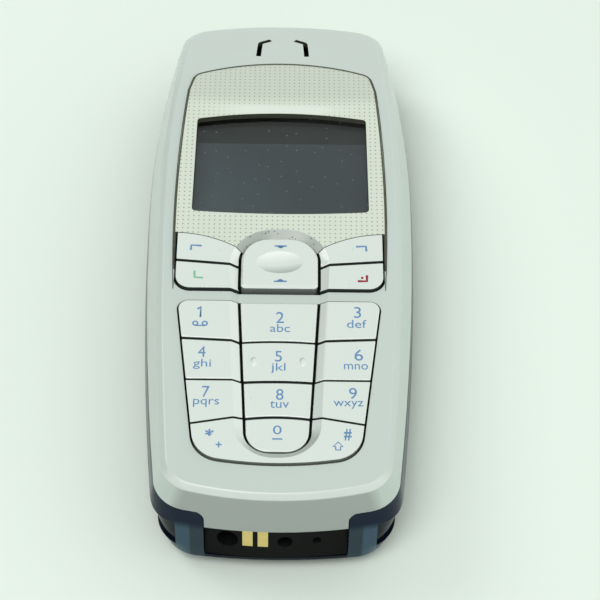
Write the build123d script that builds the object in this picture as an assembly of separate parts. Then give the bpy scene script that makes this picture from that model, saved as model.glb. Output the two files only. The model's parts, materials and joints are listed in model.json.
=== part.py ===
from build123d import *
import os

# A candy-bar feature phone lying on its back, in millimetres.
# X runs across the phone, Y along it towards the earpiece, Z up out of the keys.
# The origin is the middle of its footprint, on the face that it rests on.

# Overall size
length = 118.0
width = 50.0
thickness = 22.7
half_width = width / 2
half_length = length / 2


def shares_of(size, *shares):
    return [size * share for share in shares]


# Shells and their clearances
wall = 1.3
seam_gap = 0.15
shell_clearance = 0.3
fit = 0.05
running_gap = 0.25
overrun = 5.0
ridge_bevel = 0.9
ridge_slope_share = 0.6
wall_slope_share = 0.05
pick_reach = 0.08

# Outline of the phone from above
widest_share = 0.203
foot_corner_share = 0.844
head_corner_share = 0.822
foot_bow = 3.0
head_bow = 3.2
foot_corner_radius = 6.5
head_corner_radius = 7.0
corner_inset_share = 0.83

# Levels of the moulded form, as shares: height, half width, foot, head and bow of the foot
level_shares = (
    (0.000, 0.740, 0.930, 0.800, 0.50),
    (0.040, 0.825, 0.976, 0.850, 0.50),
    (0.120, 0.898, 1.000, 0.908, 0.51),
    (0.220, 0.944, 0.999, 0.950, 0.58),
    (0.340, 0.981, 0.992, 0.983, 0.74),
    (0.460, 1.000, 0.988, 1.000, 0.87),
    (0.570, 0.982, 0.984, 0.991, 0.95),
    (1.000, 0.875, 0.970, 0.930, 1.00),
)
seam_shares = (0.630, 0.965, 0.981, 0.981, 0.96)
inner_shares = [level_shares[place] for place in (0, 1, 3, 5, 7)]

# How far the face plate stands over the cover
plate_proud = 0.4

# Side view of the face: a foot arc, a rising flat and a falling head arc
face_drop_shares = (0.1322, 0.0903, 0.0749, 0.1013, 0.455)
face_foot_drop, face_foot_middle_drop, face_flat_drop, face_middle_drop, face_head_drop = shares_of(
    thickness, *face_drop_shares
)
face_foot_height = thickness - face_foot_drop
face_foot_middle = thickness - face_foot_middle_drop
face_flat_height = thickness - face_flat_drop
face_bend_height = thickness - plate_proud
face_head_middle = thickness - face_middle_drop
face_head_height = thickness - face_head_drop
face_place_shares = (-0.678, 0.4898, 0.7627)
face_flat_start, face_bend_y, face_head_middle_y = shares_of(half_length, *face_place_shares)

# Side view of the seam between the front cover and the back cover
seam_height_shares = (0.6432, 0.5463, 0.3965)
seam_foot_height, seam_middle_height, seam_head_height = shares_of(thickness, *seam_height_shares)

# Key tops and travel
key_proud = 0.5
key_gap = 0.42
call_gap = 0.6
pad_gap = 0.32
key_depth = 3.6
key_bottom = face_flat_height - key_depth
key_travel = 0.35
centre_key_drop = 0.75

# Stack inside, measured down from the keys
dome_thickness = 0.3
mat_thickness = 0.8
mat_post_height = 2.6
mat_post_gap = 0.1
mat_post_radius = 1.5
mat_post_sides = 8
mat_margin = 0.5
board_thickness = 1.0
board_inset = 2.3
deck_gap = 2.8
deck_thickness = 0.8
mat_top = key_bottom - key_travel - fit
board_top = mat_top - mat_thickness - mat_post_height - mat_post_gap - dome_thickness
board_bottom = board_top - board_thickness
deck_top = board_bottom - deck_gap
deck_bottom = deck_top - deck_thickness
chassis_clearance = 0.45
tray_half_share = 0.74
tray_end_shares = (-0.788, 0.8305)
tray_half = half_width * tray_half_share
tray_foot_y, tray_head_y = shares_of(half_length, *tray_end_shares)

# Card holder over the battery
card_holder_shares = (0.52, 0.1441)
card_holder_height = 1.0
card_holder_place_share = -0.3051
card_wall = 0.4
card_thickness = 0.6
card_gap = 0.4
card_holder_size = (width * card_holder_shares[0], length * card_holder_shares[1], card_holder_height)
card_holder_y = half_length * card_holder_place_share

# Battery and its bay
battery_shares = (0.66, 0.4492)
battery_place_share = -0.139
battery_gap = 0.3
battery_radius = 1.5
battery_window_depth = 0.2
battery_bottom = wall + battery_gap
battery_height = deck_bottom - card_holder_height - card_gap - battery_bottom
battery_size = (width * battery_shares[0], length * battery_shares[1], battery_height)
battery_y = half_length * battery_place_share

# Black connector block in the foot of the phone
block_half = 12.15
block_board_gap = 1.5
block_top = board_bottom - block_board_gap
block_height = 7.1
block_bottom = block_top - block_height
block_lean = 1.1
block_top_bow = 1.6
block_foot_bow = 0.9
block_depth = 8.2
block_foot_y = -half_length
apron_radius = 2.0
socket_drop = 3.0
socket_height = block_top - socket_drop
socket_depth = 6.6
charger_x = -8.25
charger_radius = 1.8
headset_x = 1.5
headset_radius = 1.3
microphone_x = 6.9
microphone_hole_radius = 0.75
microphone_radius = 2.0
microphone_depth = 1.6
contact_size = (1.75, 0.5, 4.0)
contact_pitch = 2.6
contact_x = -3.55
contact_proud = 0.05
jack_wall = 0.5
jack_length = 1.2

# Recess in each foot corner of the back cover
corner_width = 7.85
corner_length = 9.0
corner_height = 6.0
corner_top_rise = 0.3
corner_slope = 2.3
corner_depth = 0.45
corner_inner_x = half_width - corner_width
corner_top = block_top + corner_top_rise
corner_bottom = corner_top - corner_height

# Face plate round the window: half widths and places at its foot, middle, shoulder and head
plate_thickness = 1.2
plate_gap = 0.22
plate_head_radius = 2.4
plate_half_shares = (0.75, 0.766, 0.718, 0.676)
plate_place_shares = (0.2373, 0.5593, 0.6322, 0.6932)
plate_half_foot, plate_half_middle, plate_side_x, plate_half_head = shares_of(
    half_width, *plate_half_shares
)
plate_middle_y, plate_side_y, plate_corner_y, plate_head_y = shares_of(
    half_length, *plate_place_shares
)

# Window, with a slight bow at its head and its foot
window_half_shares = (0.65, 0.64)
window_place_shares = (0.0449, 0.4271)
window_half_foot, window_half_head = shares_of(half_width, *window_half_shares)
window_foot_y, window_head_y = shares_of(half_length, *window_place_shares)
window_foot_bow = 0.62
window_head_bow = 1.5
window_radius = 0.8
lens_lap = 1.0
lens_thickness = 1.1

# Display module, under the window
display_side = 2.0
display_head_room = 3.2
display_foot_room = 1.3
display_frame_height = 5.6
display_glass_height = 1.7
display_frame_wall = 1.2
display_half = window_half_head + display_side
display_foot_y = window_foot_y - window_foot_bow - display_foot_room
display_head_y = window_head_y + window_head_bow + display_head_room

# Trough that runs down the middle from the plate's lip to the 0 key
trough_place_shares = (-0.0271, -0.8525)
trough_half_shares = (0.372, 0.286)
trough_radius_shares = (0.86, 0.965)
trough_head_y, trough_foot_y = shares_of(half_length, *trough_place_shares)
trough_half_head, trough_half_foot = shares_of(half_width, *trough_half_shares)
trough_head_radius = trough_half_head * trough_radius_shares[0]
trough_foot_radius = trough_half_foot * trough_radius_shares[1]
trough_band = 1.5
trough_depth = 0.85

# Centre column of keys
column_half_shares = (0.282, 0.214)
column_foot_share = -0.8263
column_radius_share = 0.766
column_half_head, column_half_foot = shares_of(half_width, *column_half_shares)
column_foot_y = half_length * column_foot_share
column_foot_radius = column_half_foot * column_radius_share

# Number keys: outline, then rows as places across and along
pad_half_shares = (0.718, 0.556)
pad_place_shares = (-0.3, -0.8405, -0.867)
pad_half_head, pad_foot_corner_x = shares_of(half_width, *pad_half_shares)
pad_head_y, pad_foot_corner_y, pad_foot_y = shares_of(half_length, *pad_place_shares)
pad_head_radius = 1.7
pad_foot_radius = 5.2
row_outer_x_shares = (0.682, 0.648, 0.588)
row_outer_y_shares = (-0.439, -0.5873, -0.739)
row_inner_x_shares = (0.336, 0.316, 0.3)
row_inner_y_shares = (-0.4458, -0.5873, -0.7169)
row_side_shares = (-0.4483, -0.589, -0.7178)
row_middle_shares = (-0.4424, -0.5839, -0.7068)
row_outer_x = shares_of(half_width, *row_outer_x_shares)
row_inner_x = shares_of(half_width, *row_inner_x_shares)
row_gap_outer = list(zip(row_outer_x, shares_of(half_length, *row_outer_y_shares)))
row_gap_inner = list(zip(row_inner_x, shares_of(half_length, *row_inner_y_shares)))
row_gap_side_y = shares_of(half_length, *row_side_shares)
row_gap_middle_y = shares_of(half_length, *row_middle_shares)
guide_nub_place_shares = (0.17, -0.5136)
guide_nub_size = (0.55, 0.9, 0.25)
guide_nub_slope = 45
guide_nub_x = half_width * guide_nub_place_shares[0]
guide_nub_y = half_length * guide_nub_place_shares[1]

# Upper cluster: soft keys, call keys and the two-way key
cluster_half_share = 0.74
cluster_place_shares = (-0.2542, -0.0407)
cluster_half = half_width * cluster_half_share
cluster_foot_y, cluster_head_y = shares_of(half_length, *cluster_place_shares)
cluster_radius = 2.6
soft_line_x_shares = (0.752, 0.424, 0.264)
soft_line_y_shares = (-0.0449, -0.0754, -0.1144)
soft_line_x = shares_of(half_width, *soft_line_x_shares)
soft_line_y = shares_of(half_length, *soft_line_y_shares)
call_gap_x_shares = (0.732, 0.298)
call_gap_y_shares = (-0.1508, -0.1661)
call_gap_outer, call_gap_inner = zip(
    shares_of(half_width, *call_gap_x_shares), shares_of(half_length, *call_gap_y_shares)
)
nav_half_share = 0.274
nav_place_shares = (-0.061, -0.25)
nav_radius_share = 0.715
nav_half = half_width * nav_half_share
nav_head_y, nav_foot_y = shares_of(half_length, *nav_place_shares)
nav_head_radius = nav_half * nav_radius_share
nav_foot_radius = 0.8
nav_side_gap = 0.55
nav_tilt_gap = 0.25
nav_dish_shares = (0.628, 0.448)
nav_dish_depth = 0.5
nav_edge = 0.35

# Earpiece slots, as two mirrored hooks, and the capsule behind them
slot_width = 0.95
slot_x_shares = (0.19, 0.178, 0.096)
slot_y_shares = (0.7458, 0.8305, 0.851)
slot_places = list(zip(shares_of(half_width, *slot_x_shares), shares_of(half_length, *slot_y_shares)))
slot_bend_radius = 0.75
earpiece_place_share = 0.7881
earpiece_y = half_length * earpiece_place_share
earpiece_radius = 4.6
earpiece_boot_radius = 5.4
earpiece_face_drop = 3.5
earpiece_rim = 1.3
earpiece_top = face_head_middle - earpiece_face_drop
earpiece_boot_top = earpiece_top - earpiece_rim

# Battery spring contacts
spring_size = (1.4, 2.4, 3.6)
spring_pitch = 4.0
spring_lift = 3.0
spring_height = battery_bottom + spring_lift
spring_count = 3
spring_sheet = 0.25
spring_bend_radius = 0.35
spring_foot_share = 0.333

# Shield can under the board
shield_shares = (0.6, 0.2881)
shield_place_share = 0.0678
shield_wall = 0.3
shield_gap = 0.4
shield_size = (width * shield_shares[0], length * shield_shares[1], deck_gap - shield_gap)
shield_y = half_length * shield_place_share

# Ringer and vibration motor, on the deck
ringer_radius = 6.5
ringer_height = 2.6
ringer_side = 2.5
ringer_place = (tray_half - ringer_radius - ringer_side, tray_head_y - ringer_radius - ringer_side)
motor_radius = 1.35
motor_weight_radius = 1.2
motor_length = 9.0
motor_place_shares = (-0.44, -0.5085)
motor_place = (half_width * motor_place_shares[0], half_length * motor_place_shares[1])
motor_weight_length = 3.0

# Antenna over the head of the chassis
antenna_half_share = 0.54
antenna_place_shares = (0.4068, 0.7458)
antenna_half = half_width * antenna_half_share
antenna_foot_y, antenna_head_y = shares_of(half_length, *antenna_place_shares)
antenna_thickness = 0.3
antenna_slot_width = 1.6
antenna_slot_shares = (0.333, 0.667)
antenna_carrier_height = 3.2
antenna_bottom = deck_bottom - antenna_carrier_height - antenna_thickness

# Screws from the back into the front cover
screw_head_radius = 1.5
screw_head_height = 1.2
screw_radius = 0.8
screw_bite = 3.8
screw_seat = 5.0
screw_tip = board_top + screw_bite
screw_head_bottom = board_bottom - screw_seat
screw_x_shares = (0.7, 0.68)
screw_y_shares = (-0.7458, 0.5847)
screw_foot_x, screw_head_x = shares_of(half_width, *screw_x_shares)
screw_foot_y, screw_head_y = shares_of(half_length, *screw_y_shares)
screw_places = (
    (screw_foot_x, screw_foot_y),
    (-screw_foot_x, screw_foot_y),
    (screw_head_x, screw_head_y),
    (-screw_head_x, screw_head_y),
)
boss_radius = 1.9
screw_clearance = 0.15

# Release button in the back
release_size = (12.0, 5.0)
release_foot_room = 13.0
release_y = release_foot_room - half_length
release_flange = 1.2
release_flange_height = 0.9
release_recess = 0.3
release_gap = 0.25
release_end_flat = 0.15
release_room = 2.0
release_pocket_top = wall + shell_clearance + release_flange_height + release_room


def plan_face(shares, inset=0.0):
    # One level of the form seen from above: bowed ends, barrelled sides, rounded corners
    height, side, foot, head, bow = shares
    half = half_width * side - inset
    foot_y = -half_length * foot + inset
    head_y = half_length * head - inset
    widest_y = half_length * widest_share
    foot_x = half * foot_corner_share
    head_x = half * head_corner_share
    foot_corner_y = foot_y + foot_bow * bow
    head_corner_y = head_y - head_bow
    edges = [
        ThreePointArc((-foot_x, foot_corner_y), (0, foot_y), (foot_x, foot_corner_y)),
        ThreePointArc((head_x, head_corner_y), (0, head_y), (-head_x, head_corner_y)),
    ]
    for sign in (1, -1):
        widest = (sign * half, widest_y)
        edges.append(TangentArc(widest, (sign * foot_x, foot_corner_y), tangent=(0, -1)))
        edges.append(TangentArc(widest, (sign * head_x, head_corner_y), tangent=(0, 1)))
    face = make_face(edges)
    face = fillet(vertices_at(face, foot_corner_y), foot_corner_radius - inset * corner_inset_share)
    return fillet(vertices_at(face, head_corner_y), head_corner_radius - inset * corner_inset_share)


def vertices_at(face, y):
    return [v for v in face.vertices() if abs(v.Y - y) < pick_reach]


def polygon(*points):
    return make_face(Polyline(*points, close=True))


def slab(face, bottom, top):
    return Pos(0, 0, bottom) * extrude(face, amount=top - bottom)


def through(face, bottom=key_bottom):
    # A cutter with the outline of face, open above
    return slab(face, bottom, thickness + overrun)


def box_between(low, high):
    size = [h - l for l, h in zip(low, high)]
    middle = [(h + l) / 2 for l, h in zip(low, high)]
    return Pos(*middle) * Box(*size)


def across(line, start, end):
    # Everything below a line of the side view, across the whole width
    low = -overrun * 2
    frame = [
        Line(end, (end[0], low)),
        Line((end[0], low), (start[0], low)),
        Line((start[0], low), start),
    ]
    return extrude(Plane.YZ * make_face(line + frame), amount=width, both=True)


def below_face(offset=0.0):
    reach = half_length + overrun
    foot = (-reach, face_foot_height + offset)
    flat = (face_flat_start, face_flat_height + offset)
    middle = ((foot[0] + flat[0]) / 2, face_foot_middle + offset)
    bend = (face_bend_y, face_bend_height + offset)
    head = (reach, face_head_height + offset)
    line = [
        ThreePointArc(foot, middle, flat),
        Line(flat, bend),
        ThreePointArc(bend, (face_head_middle_y, face_head_middle + offset), head),
    ]
    return across(line, foot, head)


def below_seam(offset=0.0):
    reach = half_length + overrun
    foot = (-reach, seam_foot_height + offset)
    head = (reach, seam_head_height + offset)
    return across([ThreePointArc(foot, (0, seam_middle_height + offset), head)], foot, head)


def body_form(inset, levels):
    sections = []
    for shares in levels:
        height = shares[0] * thickness + inset * (1 - shares[0])
        sections.append(Pos(0, 0, height) * plan_face(shares, inset))
    return loft(sections, ruled=True) & below_face(-inset)


def make_outer_form():
    # The whole form, with a bevel along the ridge where its walls meet the face
    form = body_form(0, level_shares)
    high = [f for f in form.faces() if f.center().Z > seam_foot_height]
    face_side = [f for f in high if f.normal_at().Z > ridge_slope_share]
    borders = [e for f in face_side for e in f.edges()]
    ridge = [e for e in borders if sum(e.is_same(other) for other in borders) == 1]
    return chamfer(ridge, ridge_bevel)


def face_height(y):
    # Height of the flat stretch of the face
    slope = (face_bend_height - face_flat_height) / (face_bend_y - face_flat_start)
    return face_flat_height + slope * (y - face_flat_start)


def face_plane(offset=0.0):
    rise = face_height(half_length) - face_height(0)
    normal = Vector(0, -rise, half_length).normalized()
    return Plane((0, 0, face_height(0) + offset), x_dir=(1, 0, 0), z_dir=tuple(normal))


def apron_region(grow=0.0):
    # The part of the front cover that reaches down to the connector block
    low = block_top - grow
    top = seam_foot_height + overrun
    outer = half_width + overrun
    half = block_half + grow
    seam = seam_foot_height - grow
    face = polygon(
        (-half, low), (half, low), (half, seam), (outer, seam),
        (outer, top), (-outer, top), (-outer, seam), (-half, seam),
    )
    inner_corners = [v for v in vertices_at(face, seam) if abs(v.X) < half_width]
    face = fillet(inner_corners, apron_radius - grow)
    return from_foot(face, foot_corner_radius * 2)


def trough_face(inset=0.0):
    head_y = trough_head_y - inset
    foot_y = trough_foot_y + inset
    head_x = trough_half_head - inset
    foot_x = trough_half_foot - inset
    face = polygon((-head_x, head_y), (head_x, head_y), (foot_x, foot_y), (-foot_x, foot_y))
    face = fillet(vertices_at(face, head_y), trough_head_radius - inset)
    return fillet(vertices_at(face, foot_y), trough_foot_radius - inset)


def trough_tool(rim):
    # A sloping band down to the trough's floor, open above; rim is its height over the face
    floor = face_plane(rim - trough_depth)
    band = loft([floor * trough_face(trough_band), face_plane(rim) * trough_face()], ruled=True)
    return band + extrude(face_plane(rim) * trough_face(), amount=overrun)


def column_face(grow=0.0):
    # The centre column of number keys, open at its head
    head_y = pad_head_y + overrun
    slope = (column_half_head - column_half_foot) / (pad_head_y - column_foot_y)
    head_x = column_half_head + slope * overrun + grow
    foot_x = column_half_foot + grow
    foot_y = column_foot_y - grow
    face = polygon((-head_x, head_y), (head_x, head_y), (foot_x, foot_y), (-foot_x, foot_y))
    return fillet(vertices_at(face, foot_y), column_foot_radius + grow)


def pad_face(grow=0.0):
    # Outline of the number keys
    foot_x = pad_foot_corner_x + grow
    corner_y = pad_foot_corner_y - grow
    head_y = pad_head_y + grow
    head_x = pad_half_head + grow
    face = make_face(
        [
            Line((-head_x, head_y), (head_x, head_y)),
            Line((head_x, head_y), (foot_x, corner_y)),
            ThreePointArc((foot_x, corner_y), (0, pad_foot_y - grow), (-foot_x, corner_y)),
            Line((-foot_x, corner_y), (-head_x, head_y)),
        ]
    )
    face = fillet(vertices_at(face, head_y), pad_head_radius + grow)
    return fillet(vertices_at(face, corner_y), pad_foot_radius + grow)


def side_gap(sign, outer, inner, gap=key_gap):
    # A gap between two side keys, along the line through two places
    slope = (outer[1] - inner[1]) / (outer[0] - inner[0])
    reach = outer[0] + overrun
    near_y = inner[1] - slope * inner[0]
    far_y = inner[1] + slope * (reach - inner[0])
    half = gap / 2
    far_x = sign * reach
    return polygon((0, near_y - half), (far_x, far_y - half), (far_x, far_y + half), (0, near_y + half))


def centre_gap(side_y, middle_y):
    half = key_gap / 2
    reach = column_half_head
    low = ThreePointArc((-reach, side_y - half), (0, middle_y - half), (reach, side_y - half))
    high = ThreePointArc((-reach, side_y + half), (0, middle_y + half), (reach, side_y + half))
    return make_face([low, high, Line(low @ 0, high @ 0), Line(low @ 1, high @ 1)])


def cluster_face(grow=0.0):
    foot_y = cluster_foot_y - grow
    half = cluster_half + grow
    face = polygon((-half, cluster_head_y), (half, cluster_head_y), (half, foot_y), (-half, foot_y))
    return fillet(vertices_at(face, foot_y), cluster_radius + grow)


def nav_face(grow=0.0):
    half = nav_half + grow
    head_y = nav_head_y + grow
    foot_y = nav_foot_y - grow
    face = polygon((-half, head_y), (half, head_y), (half, foot_y), (-half, foot_y))
    face = fillet(vertices_at(face, head_y), nav_head_radius + grow)
    return fillet(vertices_at(face, foot_y), nav_foot_radius)


def soft_region(shift=0.0):
    # Everything below the soft keys' head edge, which is also the plate's foot edge
    curves = []
    for sign in (1, -1):
        places = [(sign * x, y + shift) for x, y in zip(soft_line_x, soft_line_y)]
        curves.append(ThreePointArc(*places))
    right, left = curves
    outer = soft_line_x[0]
    top_y = soft_line_y[0] + shift
    foot_y = cluster_foot_y - overrun
    return make_face(
        [
            right,
            left,
            Line(right @ 1, left @ 1),
            Line((-outer, top_y), (-outer, foot_y)),
            Line((-outer, foot_y), (outer, foot_y)),
            Line((outer, foot_y), (outer, top_y)),
        ]
    )


def plate_face(grow=0.0):
    foot_x = plate_half_foot + grow
    middle_x = plate_half_middle + grow
    side_x = plate_side_x + grow
    head_x = plate_half_head + grow
    foot_y = cluster_foot_y
    corner_y = plate_corner_y + grow
    edges = [
        ThreePointArc((-head_x, corner_y), (0, plate_head_y + grow), (head_x, corner_y)),
        Line((-foot_x, foot_y), (foot_x, foot_y)),
    ]
    for sign in (1, -1):
        side = (sign * side_x, plate_side_y)
        edges.append(ThreePointArc((sign * foot_x, foot_y), (sign * middle_x, plate_middle_y), side))
        edges.append(Line(side, (sign * head_x, corner_y)))
    return fillet(vertices_at(make_face(edges), corner_y), plate_head_radius)


def window_face(grow=0.0):
    foot_y = window_foot_y - grow
    head_y = window_head_y + grow
    foot_x = window_half_foot + grow
    head_x = window_half_head + grow
    edges = [
        ThreePointArc((-foot_x, foot_y), (0, foot_y - window_foot_bow), (foot_x, foot_y)),
        ThreePointArc((-head_x, head_y), (0, head_y + window_head_bow), (head_x, head_y)),
        Line((-foot_x, foot_y), (-head_x, head_y)),
        Line((foot_x, foot_y), (head_x, head_y)),
    ]
    return fillet(make_face(edges).vertices(), window_radius)


def ear_slots():
    cutters = []
    for sign in (1, -1):
        places = [(sign * x, y) for x, y in slot_places]
        path = FilletPolyline(*places, radius=slot_bend_radius)
        cutters.append(through(trace(path, line_width=slot_width), earpiece_top))
    return cutters


def at_screws(radius, bottom, top):
    stem = Cylinder(radius, top - bottom)
    return [Pos(x, y, (bottom + top) / 2) * stem for x, y in screw_places]


def block_level(foot_y, bow):
    half = block_half
    corner_y = foot_y + bow
    rear_y = block_foot_y + block_depth
    return make_face(
        [
            ThreePointArc((-half, corner_y), (0, foot_y), (half, corner_y)),
            Line((half, corner_y), (half, rear_y)),
            Line((half, rear_y), (-half, rear_y)),
            Line((-half, rear_y), (-half, corner_y)),
        ]
    )


def block_blank():
    low = Pos(0, 0, block_bottom) * block_level(block_foot_y, block_foot_bow)
    high = Pos(0, 0, block_top) * block_level(block_foot_y + block_lean, block_top_bow)
    return loft([low, high], ruled=True)


def from_foot(face, depth):
    # A face drawn across and up, pushed along the phone from beyond its foot
    plane = Plane((0, -half_length - overrun, 0), x_dir=(1, 0, 0), z_dir=(0, -1, 0))
    return extrude(plane * face, amount=-overrun - depth)


def corner_tool(sign):
    near, far = sign * corner_inner_x, sign * half_width
    face = polygon(
        (near, corner_bottom), (far, corner_bottom), (far, corner_top - corner_slope), (near, corner_top)
    )
    return from_foot(face, corner_length)


def along_y(radius, x, z, start, end):
    return Pos(x, (start + end) / 2, z) * Rot(90, 0, 0) * Cylinder(radius, end - start)


def make_front_cover():
    shell = outer_form - inner_form - (below_seam() - apron_region())
    shell = shell - through(cluster_face(key_gap)) - through(pad_face(pad_gap))
    recess = through(plate_face(plate_gap)) - below_face(plate_proud - plate_thickness)
    shell = shell - (recess - through(soft_region()))
    shell = shell - through(window_face(lens_lap + fit))
    shell = shell - trough_tool(0) - ear_slots()
    bosses = at_screws(boss_radius, board_top, face_flat_height)
    shell = shell + [boss & inner_form for boss in bosses]
    return shell - at_screws(screw_radius + screw_clearance, board_top - overrun, screw_tip)


def make_plate():
    sheet = through(plate_face()) & (below_face(plate_proud) - below_face(plate_proud - plate_thickness))
    sheet = sheet - through(window_face()) - through(soft_region(plate_gap)) - trough_tool(plate_proud)
    return sheet - through(nav_face(nav_tilt_gap))


def make_lens():
    top = plate_proud - plate_thickness
    return through(window_face(lens_lap)) & (below_face(top) - below_face(top - lens_thickness))


def split_cells(region, gaps):
    return (region - gaps).faces()


def key_cells():
    # Outline of every number key, by name
    side = pad_face() - column_face(key_gap / 2)
    side_gaps = []
    for sign in (1, -1):
        side_gaps += [side_gap(sign, *line) for line in zip(row_gap_outer, row_gap_inner)]
    centre_gaps = [centre_gap(*line) for line in zip(row_gap_side_y, row_gap_middle_y)]
    centre = split_cells(pad_face() & column_face(-key_gap / 2), centre_gaps)
    side = split_cells(side, side_gaps)
    columns = (
        ("147", [f for f in side if f.center().X < -column_half_foot]),
        ("2580", centre),
        ("369", [f for f in side if f.center().X > column_half_foot]),
    )
    cells = {}
    for digits, faces in columns:
        faces = sorted(faces, key=lambda f: -f.center().Y)
        cells.update({f"key_{digit}": face for digit, face in zip(digits, faces)})
    cells["key_star_hash"] = min(side, key=lambda f: abs(f.center().X))
    return cells


def make_number_keys():
    keys = {}
    for name, cell in key_cells().items():
        in_column = name[-1] in "2580"
        top = key_proud - centre_key_drop if in_column else key_proud
        key = through(cell) & below_face(top)
        if not in_column:
            key = key - trough_tool(key_proud)
        keys[name] = key
    nub_x, nub_y, nub_height = guide_nub_size
    nub = extrude(Ellipse(nub_x, nub_y), amount=nub_height, taper=guide_nub_slope)
    height = face_height(guide_nub_y - nub_y) + key_proud - centre_key_drop
    keys["key_5"] += [Pos(x, guide_nub_y, height) * nub for x in (-guide_nub_x, guide_nub_x)]
    return keys


def make_cluster_keys():
    region = (cluster_face() & soft_region()) - nav_face(nav_side_gap)
    gaps = [side_gap(sign, call_gap_outer, call_gap_inner, call_gap) for sign in (1, -1)]
    cells = sorted(split_cells(region, gaps), key=lambda f: f.center().Y)
    names = {(True, True): "send_key", (True, False): "end_key"}
    names.update({(False, True): "soft_key_left", (False, False): "soft_key_right"})
    keys = {}
    for place, cell in enumerate(cells):
        low = place < len(cells) / 2
        name = names[(low, cell.center().X < 0)]
        keys[name] = (through(cell) & below_face(key_proud)) - trough_tool(key_proud)
    return keys


def dish_tool(half_across, half_along, depth):
    # A spindle whose cap is as wide, long and deep as the dish, with its rim at the origin
    across_radius = (half_across**2 + depth**2) / depth / 2
    along_radius = (half_along**2 + depth**2) / depth / 2
    reach = half_across + fit
    end = along_radius - across_radius + (across_radius**2 - reach**2) ** 0.5
    profile = make_face(
        [
            ThreePointArc((-reach, end), (0, along_radius), (reach, end)),
            Polyline((reach, end), (reach, 0), (-reach, 0), (-reach, end)),
        ]
    )
    return Pos(0, 0, along_radius - depth) * revolve(profile, axis=Axis.X)


def make_nav_key():
    key = through(nav_face()) & below_face(plate_proud)
    middle_y = (nav_head_y + nav_foot_y) / 2
    rim = face_height(middle_y) + plate_proud
    half_across = nav_half * nav_dish_shares[0]
    half_along = (nav_head_y - nav_foot_y) / 2 * nav_dish_shares[1]
    key = key - Pos(0, middle_y, rim) * dish_tool(half_across, half_along, nav_dish_depth)
    walls = [f for f in key.faces() if abs(f.normal_at().Z) < wall_slope_share]
    rim_edges = [e for f in walls for e in f.edges() if e.bounding_box().min.Z > rim - plate_proud]
    return chamfer(rim_edges, nav_edge)


def key_posts():
    # Where the mat presses on the domes: one place a key, two under each rocking key
    places = [cell.center() for name, cell in key_cells().items() if name != "key_star_hash"]
    spots = [(place.X, place.Y) for place in places]
    call_y = (call_gap_outer[1] + cluster_foot_y) / 2
    soft_y = (call_gap_outer[1] + soft_line_y[1]) / 2
    side_x = (cluster_half + nav_half) / 2
    rocker_y = (row_gap_outer[2][1] + pad_foot_corner_y) / 2
    for sign in (1, -1):
        spots += [(sign * side_x, call_y), (sign * side_x, soft_y)]
        spots.append((sign * (pad_foot_corner_x + column_half_foot) / 2, rocker_y))
    reach = (nav_head_y - nav_foot_y) / 2 - mat_post_radius * 2
    middle_y = (nav_head_y + nav_foot_y) / 2
    return spots + [(0, middle_y + reach), (0, middle_y - reach)]


def mat_outline(grow):
    bridge = polygon(
        (-cluster_half, cluster_foot_y + cluster_radius),
        (cluster_half, cluster_foot_y + cluster_radius),
        (pad_half_head, pad_head_y - pad_head_radius),
        (-pad_half_head, pad_head_y - pad_head_radius),
    )
    return pad_face(grow) + cluster_face(grow) + bridge


def make_mat():
    bottom = mat_top - mat_thickness
    mat = slab(mat_outline(mat_margin), bottom, mat_top)
    foot = board_top + dome_thickness + mat_post_gap
    post = slab(RegularPolygon(mat_post_radius, mat_post_sides), foot, bottom)
    return mat + [Pos(x, y, 0) * post for x, y in key_posts()]


def display_box(margin, bottom, top):
    low = (-display_half + margin, display_foot_y + margin, bottom)
    return box_between(low, (display_half - margin, display_head_y - margin, top))


def make_display_frame():
    top = board_top + display_frame_height
    frame = display_box(0, board_top, top)
    return frame - display_box(display_frame_wall, top - display_glass_height, top + overrun)


def make_display_glass():
    top = board_top + display_frame_height
    return display_box(display_frame_wall + fit, top - display_glass_height, top)


def make_earpiece():
    boot = Cylinder(earpiece_boot_radius, earpiece_boot_top - board_top)
    capsule = Cylinder(earpiece_radius, earpiece_top - earpiece_boot_top)
    boot = Pos(0, earpiece_y, (earpiece_boot_top + board_top) / 2) * boot
    return boot + Pos(0, earpiece_y, (earpiece_top + earpiece_boot_top) / 2) * capsule


def make_board():
    board = slab(plan_face(seam_shares, board_inset), board_bottom, board_top)
    return board - at_screws(screw_radius + screw_clearance, board_bottom - overrun, board_top + overrun)


def make_shield():
    half_x, half_y = shield_size[0] / 2, shield_size[1] / 2
    low = board_bottom - shield_size[2]
    can = box_between((-half_x, shield_y - half_y, low), (half_x, shield_y + half_y, board_bottom))
    inner_x = half_x - shield_wall
    inner_y = half_y - shield_wall
    hollow_low = (-inner_x, shield_y - inner_y, low + shield_wall)
    return can - box_between(hollow_low, (inner_x, shield_y + inner_y, board_top))


def battery_box(gap, bottom, top):
    across_x, along, high = battery_size
    block = Box(across_x + gap * 2, along + gap * 2, top - bottom)
    block = fillet(block.edges().filter_by(Axis.Z), battery_radius + gap)
    return Pos(0, battery_y, (bottom + top) / 2) * block


def make_battery():
    # The pack has a shallow window in its head end for each spring
    pack = battery_box(0, battery_bottom, battery_bottom + battery_height)
    across_x, along, high = spring_size
    for x, wall_y in spring_places():
        window = Box(across_x + running_gap * 2, battery_window_depth * 2, high)
        pack = pack - Pos(x, wall_y - battery_gap, spring_height) * window
    return pack


def spring_places():
    first = -spring_pitch * (spring_count - 1) / 2
    wall_y = battery_y + battery_size[1] / 2 + battery_gap
    return [(first + spring_pitch * place, wall_y) for place in range(spring_count)]


def spring_block():
    # The slot in the bay's wall that holds each leaf spring
    across_x, along, high = spring_size
    blocks = []
    for x, y in spring_places():
        block = Box(across_x + running_gap * 2, along, high)
        blocks.append(Pos(x, y + along / 2, spring_height) * block)
    return blocks


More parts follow.
